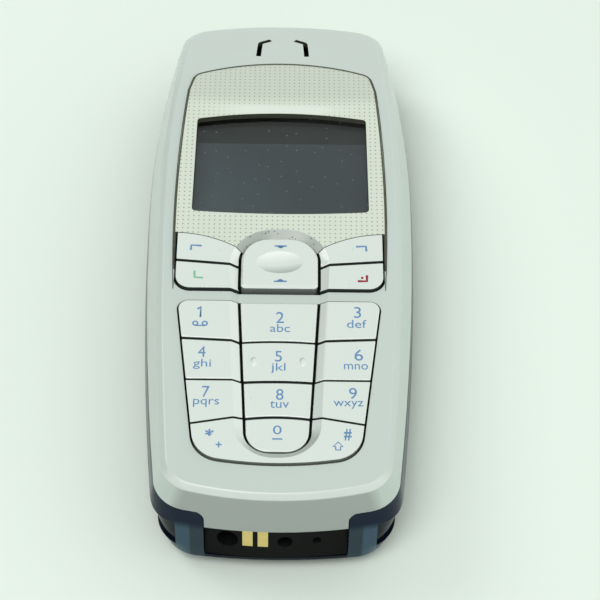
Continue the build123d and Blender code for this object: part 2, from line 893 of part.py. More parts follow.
def make_springs():
    # Strips folded into a loop, with a bowed front that leans on the battery
    across_x, along, high = spring_size
    springs = []
    for x, wall_y in spring_places():
        rear = wall_y + along - spring_sheet / 2 - fit
        front = wall_y - battery_gap + spring_sheet / 2 + fit
        low = spring_height - high / 2 + spring_sheet
        top = spring_height + high / 2 - spring_sheet
        bend = ((rear + wall_y) / 2, top)
        end = (rear - along * spring_foot_share, low)
        places = [(rear, low), (rear, top), bend, (front, spring_height), end]
        strip = trace(FilletPolyline(*places, radius=spring_bend_radius), line_width=spring_sheet)
        springs.append(Pos(x - across_x / 2, 0, 0) * extrude(Plane.YZ * strip, amount=across_x))
    return Compound(springs)


def release_blank(grow, bottom, top):
    across_x, along = release_size
    block = Box(across_x + grow * 2, along + grow * 2, top - bottom)
    block = fillet(block.edges().filter_by(Axis.Z), along / 2 + grow - release_end_flat)
    return Pos(0, release_y, (bottom + top) / 2) * block


def make_chassis():
    base = slab(plan_face(seam_shares, wall + chassis_clearance), 0, board_bottom) & fit_form
    base = base - battery_box(battery_gap, 0, deck_bottom)
    tray = box_between((-tray_half, tray_foot_y, deck_top), (tray_half, tray_head_y, thickness))
    columns = at_screws(boss_radius, deck_top, board_bottom)
    base = base - tray + columns
    base = base - box_between(
        (-antenna_half - running_gap, antenna_foot_y - running_gap, 0),
        (antenna_half + running_gap, antenna_head_y + running_gap, deck_bottom),
    )
    block_low = (-block_half, -half_length - overrun, block_bottom)
    base = base - box_between(block_low, (block_half, block_foot_y + block_depth, block_top))
    base = base - release_blank(release_flange + release_gap, 0, release_pocket_top)
    base = base - spring_block()
    base = base - at_screws(screw_radius + screw_clearance, 0, board_top)
    return base - at_screws(screw_head_radius + screw_clearance, 0, screw_head_bottom + screw_head_height)


def make_back_cover():
    shell = (outer_form - inner_form) & below_seam(-seam_gap)
    shell = shell - apron_region(seam_gap)
    gap_half = block_half + seam_gap
    gap_rear = block_foot_y + block_depth
    shell = shell - box_between(
        (-gap_half, -length, block_bottom - seam_gap), (gap_half, gap_rear, thickness)
    )
    shell = shell - release_blank(release_gap, -overrun, release_pocket_top)
    outer_skin = outer_form - corner_form
    for sign in (1, -1):
        shell = shell - (corner_tool(sign) & outer_skin)
    return shell


def make_release_button():
    flange_bottom = wall + shell_clearance
    flange_top = flange_bottom + release_flange_height
    cap = release_blank(0, release_recess, flange_bottom)
    return cap + release_blank(release_flange, flange_bottom, flange_top)


def contact_pads():
    across_x, deep, high = contact_size
    blank = block_blank()
    skin = Pos(0, -contact_proud, 0) * blank - Pos(0, deep - contact_proud, 0) * blank
    pads = []
    for sign in (1, -1):
        x = contact_x + sign * contact_pitch / 2
        low = (x - across_x / 2, -length, block_top - high - deep / 2)
        pads.append(skin & box_between(low, (x + across_x / 2, 0, block_top - deep / 2)))
    return pads


def make_connector_block(pads):
    block = block_blank()
    rear = block_foot_y + block_depth
    socket_end = block_foot_y + socket_depth
    for x, radius in ((charger_x, charger_radius), (headset_x, headset_radius)):
        block = block - along_y(radius, x, socket_height, -length, socket_end)
        block = block - along_y(radius + jack_wall, x, socket_height, socket_end, rear)
    block = block - along_y(microphone_hole_radius, microphone_x, socket_height, -length, rear)
    front = block_foot_y + microphone_depth + block_lean
    block = block - along_y(microphone_radius, microphone_x, socket_height, front, rear)
    return block - pads


def make_jack(x, radius):
    socket_end = block_foot_y + socket_depth
    cap_radius = radius + jack_wall - fit
    return along_y(cap_radius, x, socket_height, socket_end, socket_end + jack_length)


def make_microphone():
    front = block_foot_y + microphone_depth + block_lean
    return along_y(microphone_radius - fit, microphone_x, socket_height, front, front + microphone_depth)


def make_screws():
    heads = at_screws(screw_head_radius, screw_head_bottom, screw_head_bottom + screw_head_height)
    shafts = at_screws(screw_radius, screw_head_bottom, screw_tip - screw_clearance)
    return Compound([head + shaft for head, shaft in zip(heads, shafts)])


def make_antenna():
    sheet = box_between(
        (-antenna_half, antenna_foot_y, antenna_bottom),
        (antenna_half, antenna_head_y, antenna_bottom + antenna_thickness),
    )
    reach = antenna_half + overrun
    for share, sign in zip(antenna_slot_shares, (1, -1)):
        y = antenna_foot_y + (antenna_head_y - antenna_foot_y) * share
        near, far = sorted((-sign * antenna_half / 2, sign * reach))
        sheet = sheet - box_between((near, y, 0), (far, y + antenna_slot_width, deck_bottom))
    return sheet


def make_antenna_carrier():
    top = deck_bottom
    bottom = antenna_bottom + antenna_thickness
    return box_between((-antenna_half, antenna_foot_y, bottom), (antenna_half, antenna_head_y, top))


def make_card_holder():
    across_x, along, high = card_holder_size
    holder = box_between(
        (-across_x / 2, card_holder_y - along / 2, deck_bottom - high),
        (across_x / 2, card_holder_y + along / 2, deck_bottom),
    )
    slot = Box(across_x - card_wall * 2, along, card_thickness)
    return holder - Pos(0, card_holder_y - card_wall * 2, deck_bottom - high / 2) * slot


def make_ringer():
    x, y = ringer_place
    return Pos(x, y, deck_top + ringer_height / 2) * Cylinder(ringer_radius, ringer_height)


def make_motor():
    x, y = motor_place
    height = deck_top + motor_radius
    turn = Pos(x, y, height) * Rot(0, 90, 0)
    can = turn * Cylinder(motor_radius, motor_length)
    foot = box_between(
        (x - motor_length / 2, y - motor_radius, deck_top), (x + motor_length / 2, y + motor_radius, height)
    )
    weight = Pos(x + (motor_length + motor_weight_length) / 2, y, height) * Rot(0, 90, 0)
    weight = weight * Cylinder(motor_weight_radius, motor_weight_length)
    half = box_between((x, y, deck_top), (x + motor_length * 2, y + motor_length, board_bottom))
    return can + foot + (weight & half)


outer_form = make_outer_form()
inner_form = body_form(wall, inner_shares)
fit_form = body_form(wall + shell_clearance, inner_shares)
corner_form = body_form(corner_depth, level_shares)

pads = contact_pads()
parts = {
    "front_cover": make_front_cover(),
    "bezel_plate": make_plate(),
    "window_lens": make_lens(),
    "display_frame": make_display_frame(),
    "display_glass": make_display_glass(),
    "keypad_mat": make_mat(),
    "dome_sheet": slab(mat_outline(0), board_top, board_top + dome_thickness),
    "circuit_board": make_board(),
    "shield_can": make_shield(),
    "earpiece": make_earpiece(),
    "ringer": make_ringer(),
    "vibration_motor": make_motor(),
    "chassis": make_chassis(),
    "antenna_carrier": make_antenna_carrier(),
    "antenna": make_antenna(),
    "card_holder": make_card_holder(),
    "battery_contacts": make_springs(),
    "battery": make_battery(),
    "connector_block": make_connector_block(pads),
    "charge_contacts": Compound(pads),
    "charger_jack": make_jack(charger_x, charger_radius),
    "headset_jack": make_jack(headset_x, headset_radius),
    "microphone": make_microphone(),
    "chassis_screws": make_screws(),
    "back_cover": make_back_cover(),
    "release_button": make_release_button(),
    "nav_key": make_nav_key(),
}
parts.update(make_cluster_keys())
parts.update(make_number_keys())

os.makedirs("parts", exist_ok=True)
for name, solid in parts.items():
    export_step(solid, f"parts/{name}.step")
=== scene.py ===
import json
import math

import bmesh
import bpy
from mathutils import Matrix, Vector
from mathutils.bvhtree import BVHTree


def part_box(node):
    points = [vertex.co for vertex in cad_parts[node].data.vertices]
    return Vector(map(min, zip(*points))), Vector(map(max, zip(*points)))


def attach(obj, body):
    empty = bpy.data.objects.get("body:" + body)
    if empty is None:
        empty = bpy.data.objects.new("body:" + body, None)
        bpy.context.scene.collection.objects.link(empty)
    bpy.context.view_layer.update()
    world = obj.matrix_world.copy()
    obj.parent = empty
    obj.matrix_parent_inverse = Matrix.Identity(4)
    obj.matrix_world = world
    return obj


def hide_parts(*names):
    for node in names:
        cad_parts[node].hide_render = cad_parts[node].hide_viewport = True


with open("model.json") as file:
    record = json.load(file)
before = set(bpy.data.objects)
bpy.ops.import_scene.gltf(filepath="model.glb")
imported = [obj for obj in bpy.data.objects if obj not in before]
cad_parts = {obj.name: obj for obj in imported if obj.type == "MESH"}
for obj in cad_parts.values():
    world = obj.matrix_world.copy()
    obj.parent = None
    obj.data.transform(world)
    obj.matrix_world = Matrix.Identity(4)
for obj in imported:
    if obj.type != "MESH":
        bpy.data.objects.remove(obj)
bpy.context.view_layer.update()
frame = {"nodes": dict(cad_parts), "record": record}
mm = 0.001
weld = 0.002 * mm  # points nearer than this are one
overhead = 50 * mm  # well over the phone
nodes = frame["nodes"]
record = frame["record"]
nodeBody = {name: body for body, names in record["behaviour"]["bodies"].items() for name in names}
slotOf = {entry["node"]: entry["material_slot"] for entry in record["subparts"]}
print("frame loaded:", len(nodes), "nodes")


def linear(hexColour):
    # an sRGB hex value as the linear colour that Cycles works in
    channels = [int(hexColour[i:i + 2], 16) / 255 for i in (1, 3, 5)]
    return (*(c / 12.92 if c <= 0.04045 else ((c + 0.055) / 1.055) ** 2.4 for c in channels), 1.0)


def addNode(tree, kind, settings=None, *values, **links):
    # one node: values go to its open inputs in their order, links to the inputs that they name
    # each is a number, a colour, a socket, a node's first open output, or a list that one input takes
    node = tree.nodes.new(kind)
    for name, value in (settings or {}).items():
        setattr(node, name, value)
    given = list(zip([socket for socket in node.inputs if socket.enabled], values))
    given += [(node.inputs[name.replace("_", " ")], value) for name, value in links.items()]
    for socket, value in given:
        for each in value if isinstance(value, list) else [value]:
            if isinstance(each, bpy.types.Node):
                each = next(output for output in each.outputs if output.enabled)
            if isinstance(each, bpy.types.NodeSocket):
                tree.links.new(each, socket)
            else:
                socket.default_value = each
    return node


def surface(name, look, dress=None):
    # a moulded, painted or rolled surface: its colour drifts, its grain lifts it and breaks its gloss
    # dress lays what else it shows over that colour
    material = bpy.data.materials.new(name)
    material.use_nodes = True
    tree = material.node_tree
    tree.nodes.clear()
    place = addNode(tree, "ShaderNodeTexCoord").outputs["Object"]
    stretched = addNode(tree, "ShaderNodeMapping", Vector=place, Scale=look.get("stretch", (1, 1, 1)))
    broad, fine = (1 / (look[size] * mm) for size in ("drift", "grain"))
    drift = addNode(tree, "ShaderNodeTexNoise", Vector=place, Scale=broad, Detail=2.0)
    grain = addNode(tree, "ShaderNodeTexNoise", Vector=stretched, Scale=fine, Detail=3.0)
    colour = addNode(tree, "ShaderNodeMix", {"data_type": "RGBA"}, drift,
                     linear(look["colour"]), linear(look["drifted"]))
    if dress:
        colour = dress(tree, colour, look)
    dull, duller = look["gloss"]
    rough = addNode(tree, "ShaderNodeMapRange", Value=grain, To_Min=dull, To_Max=duller)
    bump = addNode(tree, "ShaderNodeBump", Height=grain, Strength=look.get("relief", 0.1),
                   Distance=look.get("height", 0.02) * mm)
    shader = addNode(tree, "ShaderNodeBsdfPrincipled", Base_Color=colour, Roughness=rough, Normal=bump,
                     Metallic=look.get("metal", 0.0), Coat_Weight=look.get("coat", 0.0),
                     Coat_Roughness=look.get("coatRough", 0.1))
    if not look.get("metal"):
        shader.inputs["IOR"].default_value = look.get("ior", 1.5)
    addNode(tree, "ShaderNodeOutputMaterial", Surface=shader)
    return material


def measured(tree):
    # what a patch goes by: where a point lies, in mm from the phone's middle, and which way it faces
    place = addNode(tree, "ShaderNodeTexCoord").outputs["Object"]
    place = addNode(tree, "ShaderNodeVectorMath", {"operation": "SCALE"}, place, 1 / mm)
    normals = addNode(tree, "ShaderNodeNewGeometry").outputs
    across, along, height = addNode(tree, "ShaderNodeSeparateXYZ", Vector=place).outputs
    turned = addNode(tree, "ShaderNodeSeparateXYZ", Vector=normals["Normal"]).outputs
    return {"place": place, "across": across, "along": along, "height": height,
            "aside": addNode(tree, "ShaderNodeMath", {"operation": "ABSOLUTE"}, across),
            "reach": addNode(tree, "ShaderNodeMath", {"operation": "ABSOLUTE"}, along),
            "turned": normals["Normal"],
            "turnAcross": turned[0], "turnAlong": turned[1], "turnUp": turned[2],
            "flatUp": addNode(tree, "ShaderNodeSeparateXYZ", Vector=normals["True Normal"]).outputs[2]}


def patched(tree, colour, measures, patches):
    # lays each patch's colour over the last where all its limits hold
    # a limit keeps a measure under or over a value, or fades the patch in from one value to another
    sharp = {"under": "LESS_THAN", "over": "GREATER_THAN"}
    for paint, limits in patches:
        masks = []
        for name, start, end in limits:
            measure = measures[name]
            if start in sharp:
                masks.append(addNode(tree, "ShaderNodeMath", {"operation": sharp[start]}, measure, end))
            else:
                masks.append(addNode(tree, "ShaderNodeMapRange", None, measure, start, end))
        where = masks[0]
        for mask in masks[1:]:
            where = addNode(tree, "ShaderNodeMath", {"operation": "MULTIPLY"}, where, mask)
        if isinstance(paint, str):
            paint = linear(paint)
        colour = addNode(tree, "ShaderNodeMix", {"data_type": "RGBA"}, where, colour, paint)
    return colour


def spotted(tree, colour, spots):
    # specks of dust or wear: one in the middle of a share of a pattern's cells
    place = addNode(tree, "ShaderNodeTexCoord").outputs["Object"]
    cells = addNode(tree, "ShaderNodeTexVoronoi", {"voronoi_dimensions": spots.get("cells", "3D")},
                    Vector=place, Scale=1 / (spots["spacing"] * mm))
    measures = {"away": cells.outputs["Distance"],
                "lot": addNode(tree, "ShaderNodeSeparateColor", Color=cells.outputs["Color"])}
    speck = [("away", "under", spots["size"] / spots["spacing"]), ("lot", "under", spots["share"])]
    return patched(tree, colour, measures, [(spots["colour"], speck)])


# sizes in every look are in mm: drift is how far apart its colour changes, grain is the size of its
# texture; real paint flakes and tool grain are 0.02 to 0.05 mm, and are drawn coarser so that they show
materials = {}

# silver paint on moulded ABS: a cool satin grey with the finest sparkle, dulled by handling
# a painted highlight brightens its ridge over the foot, and painted shade greys the wall under that
# painted shade darkens the walls of its openings, and round the face plate it reaches over their edge
cover = {"colour": "#c3cfc9", "drifted": "#cad6d0", "drift": 30, "grain": 0.3, "gloss": (0.34, 0.46),
         "relief": 0.05, "coat": 0.7, "coatRough": 0.24,
         "dust": {"spacing": 5.0, "size": 0.1, "share": 0.3, "colour": "#8f9694"},
         "patches": [
             # painted highlight along the ridge over the foot
             ("#dde6e1", [("turnAlong", -0.2, -0.5), ("turnUp", 0.35, 0.55), ("reach", 49.5, 53.0)]),
             # painted shade on the foot's end wall, under the ridge
             ("#a3aaa7", [("turnAlong", -0.8, -0.95)]),
             # painted shade in the walls of the openings, reaching over their edge round the face plate
             ("#4a4c3c", [("along", "over", -2.6), ("inward", "under", -0.3), ("reach", "under", 52.5),
                          ("turnUp", 0.99, 0.79)]),
             ("#4a4c3c", [("along", "under", -2.6), ("aside", "under", 16.5), ("reach", "under", 52.5),
                          ("turnUp", 0.55, 0.35)]),
             ("#4a4c3c", [("along", "under", -2.6), ("aside", "over", 16.5), ("aside", "under", 18.95),
                          ("reach", "under", 52.5), ("inward", "under", -0.3),
                          ("turnUp", 0.55, 0.35)])]}


def coverColour(tree, colour, look):
    measures = measured(tree)
    towards = []  # how far a wall faces away from the phone's middle, across it and along it
    for way, turn in (("across", "turnAcross"), ("along", "turnAlong")):
        side = addNode(tree, "ShaderNodeMath", {"operation": "SIGN"}, measures[way])
        towards.append(addNode(tree, "ShaderNodeMath", {"operation": "MULTIPLY"}, measures[turn], side))
    measures["inward"] = addNode(tree, "ShaderNodeMath", {"operation": "MINIMUM"}, *towards)
    return patched(tree, spotted(tree, colour, look["dust"]), measures, look["patches"])


materials["silver_cover"] = surface("satinSilverPaint", cover, coverColour)

# paler silver paint under a clear coat, on moulded polycarbonate: the bevels catch the lamp; a painted
# highlight makes a slope towards the foot brighter and painted shade makes one towards the earpiece
# darker painted shade darkens the walls, less on the two-way key and at the foot
keyPaint = {"colour": "#d8e2dc", "drifted": "#dee7e1", "drift": 18, "grain": 0.25,
            "gloss": (0.26, 0.36), "relief": 0.04, "coat": 0.7, "coatRough": 0.1,
            "dust": {"spacing": 6.0, "size": 0.07, "share": 0.3, "colour": "#8d9391", "cells": "2D"},
            "shadeFacing": (-0.25, 0.97, 0.0),
            # painted highlight on slopes towards the foot, painted shade on slopes towards the earpiece
            "slopeShading": [("#a5b0aa", [("shadeFacing", 0.03, 0.33)]), ("#f4fbf7", [("shadeFacing", -0.03, -0.33)])],
            # painted shade on the walls, paler on the two-way key and at the foot
            "wall": "#464e4b",
            "paleShadedWalls": [("#8b928e", [("aside", "under", 7.2), ("along", "over", -16.3)]),
                          ("#8b928e", [("along", "under", -46.5)])],
            "wallShadeFaces": [("turnUp", 0.6, 0.35)]}


def keyColour(tree, colour, look):
    measures = measured(tree)
    # painted highlight and shade by which way a slope faces, and painted shade on the walls
    measures["shadeFacing"] = addNode(tree, "ShaderNodeVectorMath", {"operation": "DOT_PRODUCT"},
                               measures["turned"], look["shadeFacing"])
    wall = patched(tree, linear(look["wall"]), measures, look["paleShadedWalls"])
    colour = spotted(tree, colour, look["dust"])
    return patched(tree, colour, measures, look["slopeShading"] + [(wall, look["wallShadeFaces"])])


materials["silver_keys"] = surface("coatedSilverKeys", keyPaint, keyColour)

# pearl polycarbonate with a printed grid of fine dots, plain on its worn lip and under a painted
# highlight on its bend painted shade darkens its head, its walls, the seam round its head and sides, and
# the two narrow legs beside the upper keys, which are silver round the keys' foot corners
plate = {"colour": "#dbe4d6", "drifted": "#d2dccc", "drift": 14, "grain": 0.2, "gloss": (0.3, 0.4),
         "relief": 0.04, "coat": 0.35, "coatRough": 0.2,
         # painted shade over its head, which slopes away from the lamps
         "head": ("#c9d2c5", [("along", 28.9, 31.5)]),
         "pitch": 0.957, "dot": 0.27, "dotEdge": 0.2, "ink": "#8e978b",
         "level": ("flatUp", "over", 0.9),
         # painted highlight along its bend above the window
         "bend": ("#e2eadf", [("along", 26.0, 27.2), ("along", 29.5, 28.3), ("aside", 15.0, 7.0)]),
         "lip": "#b0b9b1", "slope": [("flatUp", 0.95, 0.9)],
         "chips": {"spacing": 0.55, "size": 0.16, "share": 0.3, "colour": "#6d756d"},
         # painted shade in the seam round its head and sides, on the legs and on the walls
         "seam": ("#4d5142", [("flatUp", 0.9, 0.78), ("along", "over", 1.0)]),
         "legShade": ("#22261f", [("aside", "over", 18.7), ("along", "under", -2.4)]),
         "legFoot": (cover["colour"], [("aside", "over", 18.7), ("along", "under", -10.9)]),
         "wall": "#4d5142", "wallShadeFaces": [("turnUp", 0.6, 0.35)]}


def plateColour(tree, colour, look):
    measures = measured(tree)
    # how far a point is from the middle of its cell of the grid, as a share of the pitch
    steps = [("SCALE", 1 / look["pitch"]), ("FRACTION",), ("SUBTRACT", (0.5, 0.5, 0.5)),
             ("MULTIPLY", (1, 1, 0)), ("LENGTH",)]
    measures["fromDot"] = measures["place"]
    for operation, *value in steps:
        measures["fromDot"] = addNode(tree, "ShaderNodeVectorMath", {"operation": operation},
                                      measures["fromDot"], *value)
    radius = look["dot"] / look["pitch"] / 2
    edge = radius * look["dotEdge"]
    dots = (look["ink"], [("fromDot", radius + edge, radius - edge), look["level"]])
    lip = spotted(tree, linear(look["lip"]), look["chips"])
    wall = patched(tree, linear(look["wall"]), measures, [look["legFoot"]])
    patches = [look["head"], dots, look["bend"], (lip, look["slope"]), look["seam"], look["legShade"],
               look["legFoot"], (wall, look["wallShadeFaces"])]
    return patched(tree, colour, measures, patches)


materials["dotted_plate"] = surface("pearlDottedPlate", plate, plateColour)

# injection moulded navy ABS, polished tool: deep blue with a wet gloss and a few fine specks
# a painted reflection lightens its facets on each side of the block; painted shade darkens the recess in
# each foot corner and the rim under the block
navy = {"colour": "#07182c", "drifted": "#0b2038", "drift": 12, "grain": 0.5, "gloss": (0.14, 0.22),
        "relief": 0.03, "ior": 1.22,
        # painted reflection on the facets on each side of the block
        "facetReflection": "#2e3f49", "facetOuterReflection": [("#3f5767", [("aside", 14.5, 14.9)])],
        "lit": [("aside", "over", 12.1), ("aside", "under", 17.15), ("along", -54.0, -55.0),
                ("height", 11.2, 9.6)],
        # painted shade in the foot corners' recesses and on the rim under the block
        "shade": [("#08111f", [("aside", "over", 17.15), ("along", "under", -50.0),
                               ("height", "under", 9.7)]),
                  ("#08111f", [("aside", "under", 12.1), ("along", "under", -54.0)])],
        "dust": {"spacing": 3.0, "size": 0.06, "share": 0.3, "colour": "#55607a"}}


def navyColour(tree, colour, look):
    measures = measured(tree)
    facetReflections = patched(tree, linear(look["facetReflection"]), measures, look["facetOuterReflection"])
    colour = patched(tree, colour, measures, [(facetReflections, look["lit"])] + look["shade"])
    return spotted(tree, colour, look["dust"])


materials["navy_cover"] = surface("navyGlossPlastic", navy, navyColour)

# glass-filled black nylon from a spark-eroded tool: a dull fine grain
blackNylon = {"colour": "#0e100f", "drifted": "#141615", "drift": 5, "grain": 0.15,
              "gloss": (0.45, 0.62), "relief": 0.25, "height": 0.03, "ior": 1.16}
materials["black_block"] = surface("sparkGrainedNylon", blackNylon)

# hard-coated acrylic, smoke tinted: dark, with a clean reflection
lens = {"colour": "#a9b2b4", "drifted": "#adb6b8", "haze": 2.5, "gloss": (0.03, 0.09), "ior": 1.49}
material = bpy.data.materials.new("smokedAcrylic")
material.use_nodes = True
tree = material.node_tree
tree.nodes.clear()
place = addNode(tree, "ShaderNodeTexCoord").outputs["Object"]
haze = addNode(tree, "ShaderNodeTexNoise", Vector=place, Scale=1 / (lens["haze"] * mm), Detail=3.0)
clear, hazy = lens["gloss"]
rough = addNode(tree, "ShaderNodeMapRange", Value=haze, To_Min=clear, To_Max=hazy)
tint = addNode(tree, "ShaderNodeMix", {"data_type": "RGBA"}, haze,
               linear(lens["colour"]), linear(lens["drifted"]))
shader = addNode(tree, "ShaderNodeBsdfPrincipled", Base_Color=tint, Roughness=rough, IOR=lens["ior"],
                 Transmission_Weight=1.0)
addNode(tree, "ShaderNodeOutputMaterial", Surface=shader)
materials["clear_lens"] = material

# unlit display: blue-grey glass, paler towards its lower left under a painted reflection, with painted
# shade in a dark band along its head
display = {"colour": "#7c868c", "drifted": "#6f7a80", "drift": 9, "grain": 0.12, "gloss": (0.25, 0.4),
           "relief": 0.05, "height": 0.01, "glare": (-0.8, -0.6, 0.0),
           # painted reflection paler towards the lower left; painted shade in a dark band along the head
           "patches": [("#a0aaaf", [("glare", -8.0, 9.0)]), ("#41473f", [("along", 21.8, 22.1)])],
           "dust": {"spacing": 2.6, "size": 0.14, "share": 0.45, "colour": "#e4eaeb", "cells": "2D"}}


def displayColour(tree, colour, look):
    measures = measured(tree)
    measures["glare"] = addNode(tree, "ShaderNodeVectorMath", {"operation": "DOT_PRODUCT"},
                                measures["place"], look["glare"])
    return spotted(tree, patched(tree, colour, measures, look["patches"]), look["dust"])


materials["display_glass"] = surface("unlitDisplay", display, displayColour)

# gold flash over nickel, browned by wear: a warm, slightly dull metal
gold = {"colour": "#f2dc98", "drifted": "#e6cc86", "drift": 0.8, "grain": 0.1, "gloss": (0.38, 0.55),
        "relief": 0.08, "height": 0.01, "metal": 1.0}
materials["gold_contact"] = surface("wornGoldFlash", gold)

# FR4 laminate under solder mask: green, with the tracks showing as slightly lighter lines
board = {"colour": "#1f5a3c", "drifted": "#24623f", "drift": 9, "grain": 0.2, "gloss": (0.3, 0.42),
         "relief": 0.05, "height": 0.01, "between": "#22603f", "track": "#3a8058", "blocks": 3.0,
         "trackWidth": 0.04, "shows": 0.6}


def boardColour(tree, colour, look):
    place = addNode(tree, "ShaderNodeTexCoord").outputs["Object"]
    tracks = addNode(tree, "ShaderNodeTexBrick", Vector=place, Scale=1 / (look["blocks"] * mm),
                     Mortar_Size=look["trackWidth"], Color1=linear(look["colour"]),
                     Color2=linear(look["between"]), Mortar=linear(look["track"]))
    return addNode(tree, "ShaderNodeMix", {"data_type": "RGBA"}, look["shows"], colour, tracks)


materials["board_laminate"] = surface("maskedLaminate", board, boardColour)

# the rest are inside, and each is named for what it is
inner = {
    # a plain milky sheen
    "white_frame": ("mouldedWhitePolycarbonate", {
        "colour": "#dcdcd4", "drifted": "#e6e6df", "drift": 8, "grain": 0.3, "gloss": (0.5, 0.6)}),
    # soft and dark, with no highlight to speak of
    "key_rubber": ("mouldedSilicone", {
        "colour": "#2c332f", "drifted": "#353c38", "drift": 6, "grain": 0.2, "gloss": (0.6, 0.75),
        "relief": 0.15, "ior": 1.42}),
    # bright, with the rolling lines along it
    "spring_steel": ("rolledSpringSteel", {
        "colour": "#b4b5b2", "drifted": "#a2a4a2", "drift": 5, "grain": 0.15, "gloss": (0.25, 0.4),
        "height": 0.01, "metal": 1.0, "stretch": (1, 0.08, 1)}),
    # cloudy where the tin has flowed
    "tinned_shield": ("tinnedSteelSheet", {
        "colour": "#c2c2bd", "drifted": "#aeb0ae", "drift": 7, "grain": 0.6, "gloss": (0.3, 0.5),
        "metal": 1.0}),
    # dull and near black
    "black_boot": ("mouldedRubberBoot", {
        "colour": "#1a1b1b", "drifted": "#232424", "drift": 4, "grain": 0.2, "gloss": (0.6, 0.75),
        "relief": 0.2, "ior": 1.42}),
    # grey, with the drawing lines round it
    "motor_can": ("drawnSteelCan", {
        "colour": "#9c9d9c", "drifted": "#8d8f8e", "drift": 3, "grain": 0.2, "gloss": (0.25, 0.4),
        "height": 0.01, "metal": 1.0, "stretch": (0.05, 1, 1)}),
    # a dull grey moulding with a fine grain
    "grey_frame": ("glassFilledPolycarbonate", {
        "colour": "#4b4e50", "drifted": "#54575a", "drift": 10, "grain": 0.2, "gloss": (0.5, 0.65),
        "relief": 0.2, "height": 0.03}),
    # warm brown metal with lines along it
    "antenna_strip": ("rolledBronzeStrip", {
        "colour": "#b88a58", "drifted": "#a97b4c", "drift": 5, "grain": 0.2, "gloss": (0.3, 0.45),
        "height": 0.01, "metal": 1.0, "stretch": (0.1, 1, 1)}),
    # dark, with a soft shine
    "screw_steel": ("blackenedSteel", {
        "colour": "#4a4b4d", "drifted": "#3d3e40", "drift": 1, "grain": 0.1, "gloss": (0.35, 0.5),
        "height": 0.01, "metal": 1.0}),
    # a satin grey shell
    "battery_case": ("mouldedGreyCase", {
        "colour": "#3a3d41", "drifted": "#44474b", "drift": 12, "grain": 0.25, "gloss": (0.45, 0.6)})}
for slot, (name, look) in inner.items():
    materials[slot] = surface(name, look)
print("materials made:", len(materials))

for name, node in nodes.items():
    node.data.materials.clear()
    node.data.materials.append(materials[slotOf[name]])


def onScene(name, data):
    # a new object for a mesh, curve, lamp or camera
    obj = bpy.data.objects.new(name, data)
    bpy.context.collection.objects.link(obj)
    return obj


def claim(obj, name):
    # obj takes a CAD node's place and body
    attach(obj, nodeBody[name])
    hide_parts(name)


def plainMesh(obj):
    # the mesh that an object's curves, letters or modifiers make
    return bpy.data.meshes.new_from_object(obj.evaluated_get(bpy.context.evaluated_depsgraph_get()))


def applied(obj):
    # an object with its modifiers worked into its mesh
    made = plainMesh(obj)
    obj.modifiers.clear()
    obj.data = made


# the bevelled ridge round the front cover, outside its trough and openings: in mm, and turn in degrees
ridge = {"width": 0.5, "steps": 3, "turn": (12, 65), "inside": (12, 52.5)}
# turns between faces, in degrees: up to the first they are one face, from the second they get a bevel,
# and from the third their shading breaks
easing = {"flat": 0.6, "bevelFrom": 20, "sharpFrom": 45}
# edges as they leave the tool: bevel width in mm, and its steps
edges = {"front_cover": (0.26, 3), "back_cover": (0.22, 3), "bezel_plate": (0.24, 3),
         "window_lens": (0.1, 2), "nav_key": (0.3, 3), "key_star_hash": (0.24, 3),
         "soft_key_left": (0.24, 3), "soft_key_right": (0.24, 3), "send_key": (0.24, 3),
         "end_key": (0.24, 3), "connector_block": (0.12, 2), "release_button": (0.15, 2)}
edges.update({f"key_{digit}": (0.24, 3) for digit in range(10)})


def roundRidge(work):
    # turns the cover's bevelled ridge round
    work.normal_update()
    insideX, insideY = ridge["inside"]
    least, most = ridge["turn"]
    picked = []
    for edge in work.edges:
        if len(edge.link_faces) != 2:
            continue
        spot = (edge.verts[0].co + edge.verts[1].co) / 2 / mm
        if abs(spot.x) < insideX and abs(spot.y) < insideY:
            continue
        raised = all(face.normal.z > 0 for face in edge.link_faces)
        if raised and least < math.degrees(edge.calc_face_angle(0)) < most:
            picked.append(edge)
    bmesh.ops.bevel(work, geom=picked, offset=ridge["width"] * mm, segments=ridge["steps"], profile=0.5,
                    affect="EDGES", clamp_overlap=True)


def eased(name, width, steps):
    # a CAD node's own shape with its corners rounded and its curved walls shaded smooth
    mesh = nodes[name].data.copy()
    work = bmesh.new()
    work.from_mesh(mesh)
    bmesh.ops.remove_doubles(work, verts=work.verts, dist=weld)
    bmesh.ops.dissolve_limit(work, angle_limit=math.radians(easing["flat"]), verts=work.verts,
                             edges=work.edges)
    if name == "front_cover":
        roundRidge(work)
    work.to_mesh(mesh)
    work.free()
    obj = onScene(name + "_eased", mesh)
    bevel = obj.modifiers.new("bevel", "BEVEL")
    bevel.width = width * mm
    bevel.segments = steps
    bevel.limit_method = "ANGLE"
    bevel.angle_limit = math.radians(easing["bevelFrom"])
    bevel.use_clamp_overlap = True
    applied(obj)
    for face in obj.data.polygons:
        face.use_smooth = True
    obj.data.set_sharp_from_angle(angle=math.radians(easing["sharpFrom"]))
    obj.modifiers.new("weighted", "WEIGHTED_NORMAL").keep_sharp = True
    applied(obj)
    claim(obj, name)
    return obj


dressed = {name: eased(name, *edge) for name, edge in edges.items()}
print("edges eased on", len(dressed), "pieces")

